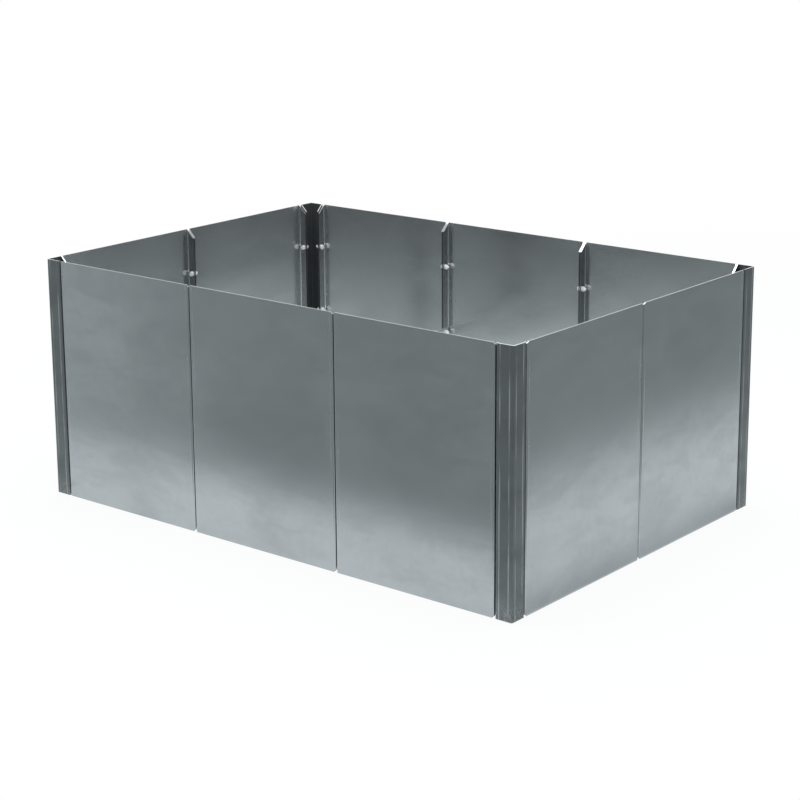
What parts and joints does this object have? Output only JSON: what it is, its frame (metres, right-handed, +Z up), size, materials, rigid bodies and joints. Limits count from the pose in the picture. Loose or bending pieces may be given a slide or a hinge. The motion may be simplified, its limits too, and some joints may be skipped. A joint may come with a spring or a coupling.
{
  "type": "raised garden bed",
  "caption": "Rectangular raised garden bed of folded galvanised steel panels and corner posts, bolted through inward flanges, open top and bottom, with flat cross braces.",
  "frame": {"origin": "middle of the rectangular footprint, at ground level", "axes": "+Z up, +X along the long walls, so the front long wall is on the -Y side"},
  "size_m": [1.605, 1.105, 0.68],
  "materials": {
    "panel_steel": "hot-dip galvanised sheet, satin grey with soft cloudy mottling",
    "post_steel": "hot-dip galvanised sheet, darker satin grey with fine marks along the bends",
    "brace_steel": "galvanised flat bar, satin grey",
    "fastener_zinc": "bright zinc plated",
    "spacer_zinc": "dull zinc plated"
  },
  "bodies": {
    "root": {"back_bolts_1": "fastener_zinc", "back_bolts_2": "fastener_zinc", "back_bolts_3": "fastener_zinc", "back_bolts_4": "fastener_zinc", "back_nuts_1": "fastener_zinc", "back_nuts_2": "fastener_zinc", "back_nuts_3": "fastener_zinc", "back_nuts_4": "fastener_zinc", "back_panel_1": "panel_steel", "back_panel_2": "panel_steel", "back_panel_3": "panel_steel", "back_spacers": "spacer_zinc", "cross_brace_1": "brace_steel", "cross_brace_2": "brace_steel", "front_bolts_1": "fastener_zinc", "front_bolts_2": "fastener_zinc", "front_bolts_3": "fastener_zinc", "front_bolts_4": "fastener_zinc", "front_nuts_1": "fastener_zinc", "front_nuts_2": "fastener_zinc", "front_nuts_3": "fastener_zinc", "front_nuts_4": "fastener_zinc", "front_panel_1": "panel_steel", "front_panel_2": "panel_steel", "front_panel_3": "panel_steel", "front_spacers": "spacer_zinc", "left_bolts_1": "fastener_zinc", "left_bolts_2": "fastener_zinc", "left_bolts_3": "fastener_zinc", "left_nuts_1": "fastener_zinc", "left_nuts_2": "fastener_zinc", "left_nuts_3": "fastener_zinc", "left_panel_1": "panel_steel", "left_panel_2": "panel_steel", "left_spacers": "spacer_zinc", "post_back_left": "post_steel", "post_back_right": "post_steel", "post_front_left": "post_steel", "post_front_right": "post_steel", "right_bolts_1": "fastener_zinc", "right_bolts_2": "fastener_zinc", "right_bolts_3": "fastener_zinc", "right_nuts_1": "fastener_zinc", "right_nuts_2": "fastener_zinc", "right_nuts_3": "fastener_zinc", "right_panel_1": "panel_steel", "right_panel_2": "panel_steel", "right_spacers": "spacer_zinc"}
  },
  "joints": []
}
